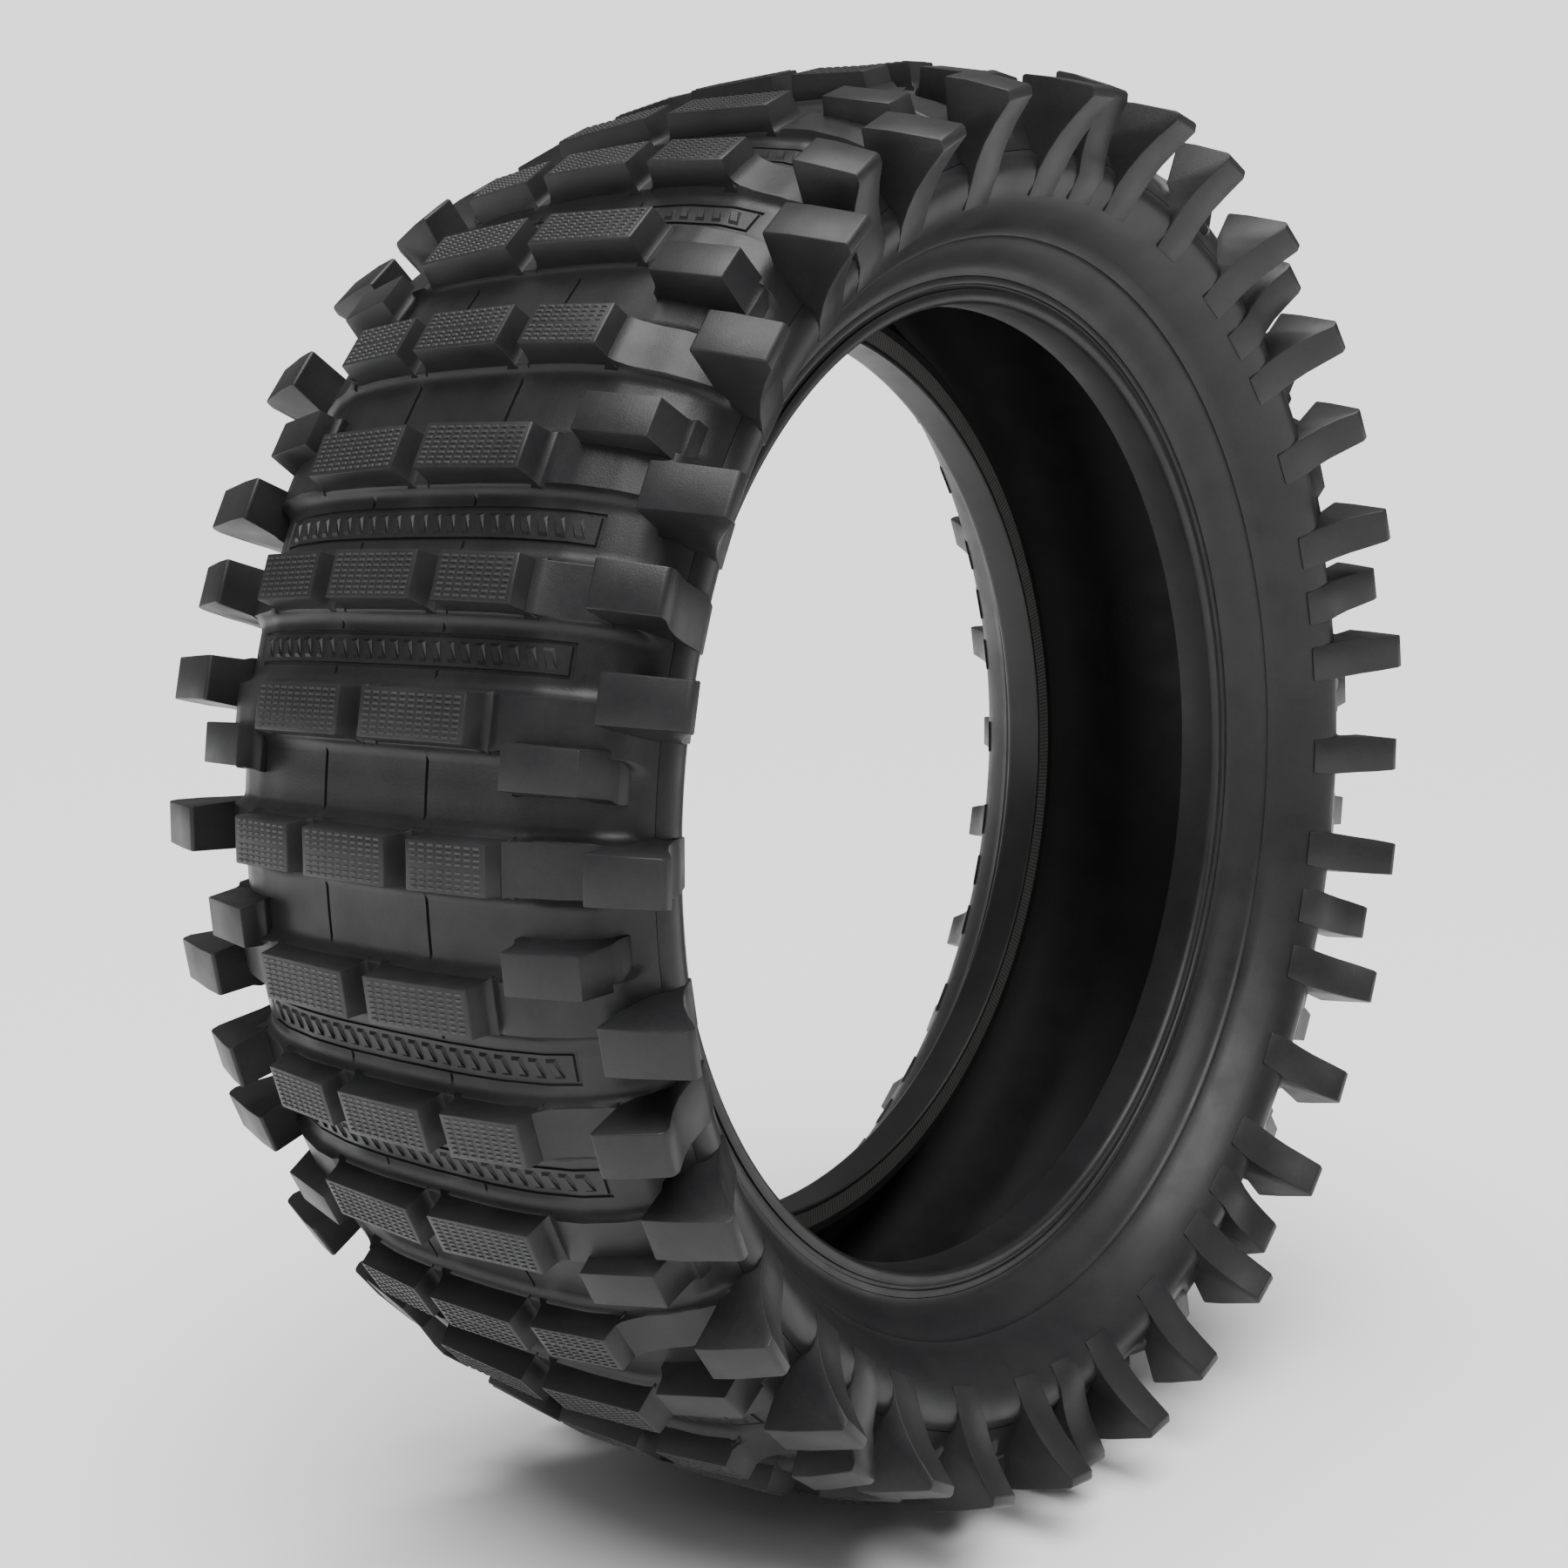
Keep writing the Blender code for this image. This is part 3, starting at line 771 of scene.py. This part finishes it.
keep(ring_of("tread_base", tread_base_repeat(), TREAD_RUBBER, 38.0), "tread_rubber", "tread")
keep(ring_of("crown_knobs", knob_repeat(), KNOB_RUBBER, 40.0, 0.7), "tread_rubber")
keep(ring_of("shoulder_knobs", shoulder_repeat(), KNOB_RUBBER, 40.0, 1.1), "tread_rubber")
keep(ring_of("knob_knurling", knurl_repeat(), KNURL_PAINTED_HIGHLIGHT_RUBBER, 30.0), "tread_rubber")
keep(ring_of("panel_bars", panel_repeat(), TREAD_RUBBER, 30.0), "tread_rubber")

WALL_INSIDE = [(60.2, 240.3), (60.2, 243.1), (79.9, 266.0), (95.6, 276.9), (87.2, 289.7)]
WALL_OUTSIDE = [
    (105.0, 289.7),
    (106.8, 287.6),
    (107.6, 284.6),
    (107.0, 280.6),
    (105.0, 276.0),
    (101.6, 271.2),
    (96.5, 266.8),
    (91.0, 263.0),
    (86.2, 260.0),
    (82.0, 257.4),
    (81.3, 256.3),
    (80.2, 256.2),
    (78.8, 255.0),
    (77.2, 253.2),
    (75.0, 251.0),
    (72.0, 248.6),
    (69.4, 246.5),
    (67.0, 244.6),
    (65.4, 242.6),
    (64.8, 240.3),
]
RIM_OUTLINE = [
    (61.6, 240.0),
    (61.6, 230.4),
    (44.2, 230.4),
    (44.2, 228.7),
    (44.9, 228.0),
    (60.8, 228.0),
    (62.6, 228.4),
    (63.8, 229.2),
    (64.5, 230.6),
    (64.6, 233.0),
    (64.3, 234.4),
    (63.2, 234.8),
    (63.0, 235.6),
    (63.2, 236.4),
    (64.3, 236.9),
    (64.7, 238.2),
    (64.6, 240.0),
]
CHAFER_OUTLINE = [
    (44.2, 230.6),
    (61.2, 230.6),
    (61.2, 240.0),
    (60.2, 240.0),
    (60.2, 231.6),
    (45.2, 231.6),
    (45.2, 239.7),
    (44.2, 239.7),
]
LINER_LINE = [(44.0, 240.0), (44.0, 246.0), (90.0, 278.0), (82.0, 290.0), (43.2, 304.0)]
LINER_BACK = [(45.2, 240.0), (45.2, 245.4), (91.6, 277.7), (82.8, 291.0), (43.4, 305.2)]


def sided(outline, side):
    return [(side * width, radius) for width, radius in outline]


def across_tyre(line):
    """A half line from the bead to the crown, continued down the other side."""
    return rounded(line + sided(line[::-1], -1.0))


for side, word in ((1.0, "left"), (-1.0, "right")):
    wall = turned("wall_skin_" + word, sided(WALL_INSIDE + WALL_OUTSIDE, side), WALL_RUBBER)
    keep(wall, "sidewall_rubber", "sidewall_" + word)
    strip = turned("bead_lip_" + word, sided(RIM_OUTLINE, side), RIM_RUBBER)
    keep(strip, "sidewall_rubber", "rim_strip_" + word)
    fabric = turned("chafer_fabric_" + word, sided(CHAFER_OUTLINE, side), CHAFER_WEAVE)
    keep(fabric, "woven_fabric", "chafer_" + word)
lining = across_tyre(LINER_LINE) + across_tyre(LINER_BACK)[::-1]
keep(turned("cavity_lining", lining, LINER_RUBBER), "liner_rubber", "inner_liner")


# Floor, light and camera


def make_floor():
    half = 12.0
    height = -CROWN_RADIUS * MM
    corners = [(-half, -half), (half, -half), (half, half), (-half, half)]
    mesh = mesh_of("floor", [(x, y, height) for x, y in corners], [(0, 1, 2, 3)])
    floor = bpy.data.objects.new("floor", mesh)
    bpy.context.scene.collection.objects.link(floor)
    pale = bpy.data.materials.new("pale floor")
    pale.use_nodes = True
    shader = pale.node_tree.nodes["Principled BSDF"]
    shader.inputs["Base Color"].default_value = (0.92, 0.92, 0.92, 1.0)
    shader.inputs["Roughness"].default_value = 0.9
    mesh.materials.append(pale)


def area_light(name, place_at, target, size, power):
    data = bpy.data.lights.new(name, "AREA")
    data.shape = "SQUARE"
    data.size = size
    data.energy = power
    light = bpy.data.objects.new(name, data)
    light.location = place_at
    toward = Vector(target) - Vector(place_at)
    light.rotation_euler = toward.to_track_quat("-Z", "Y").to_euler()
    bpy.context.scene.collection.objects.link(light)


def make_lights():
    data = bpy.data.lights.new("overhead", "SUN")
    data.energy = 6.0
    data.angle = 1.0
    overhead = bpy.data.objects.new("overhead", data)
    overhead.rotation_euler = Vector((0.25, 0.2, -1.0)).to_track_quat("-Z", "Y").to_euler()
    bpy.context.scene.collection.objects.link(overhead)
    middle = (0.0, 0.0, 0.0)
    area_light("front fill", (-1.7, -1.2, 1.5), middle, 1.0, 9.0)
    area_light("side fill", (1.5, -1.7, 1.5), middle, 1.2, 3.0)
    world = bpy.data.worlds.new("studio")
    bpy.context.scene.world = world
    world.use_nodes = True
    tree = world.node_tree
    back = tree.nodes["Background"]
    back.inputs["Color"].default_value = (1.0, 1.0, 1.0, 1.0)
    back.inputs["Strength"].default_value = 0.22
    sweep = tree.nodes.new("ShaderNodeBackground")
    sweep.inputs["Strength"].default_value = 2.2
    seen = tree.nodes.new("ShaderNodeLightPath")
    mix = tree.nodes.new("ShaderNodeMixShader")
    tree.links.new(seen.outputs["Is Camera Ray"], mix.inputs["Fac"])
    tree.links.new(back.outputs[0], mix.inputs[1])
    tree.links.new(sweep.outputs[0], mix.inputs[2])
    tree.links.new(mix.outputs[0], tree.nodes["World Output"].inputs["Surface"])


def make_camera():
    turn = math.radians(-54.0)
    tilt = math.radians(5.95)
    away = 1.02
    right = Vector((math.cos(turn), math.sin(turn), 0.0))
    back = Vector(
        (math.sin(turn) * math.cos(tilt), -math.cos(turn) * math.cos(tilt), math.sin(tilt))
    )
    up = back.cross(right)
    aim = right * -0.047 + up * -0.001
    data = bpy.data.cameras.new("camera")
    data.sensor_width = 36.0
    data.lens = 46.9
    camera = bpy.data.objects.new("camera", data)
    camera.location = back * away
    toward = aim - camera.location
    camera.rotation_euler = toward.to_track_quat("-Z", "Y").to_euler()
    bpy.context.scene.collection.objects.link(camera)
    bpy.context.scene.camera = camera


make_floor()
make_lights()
make_camera()
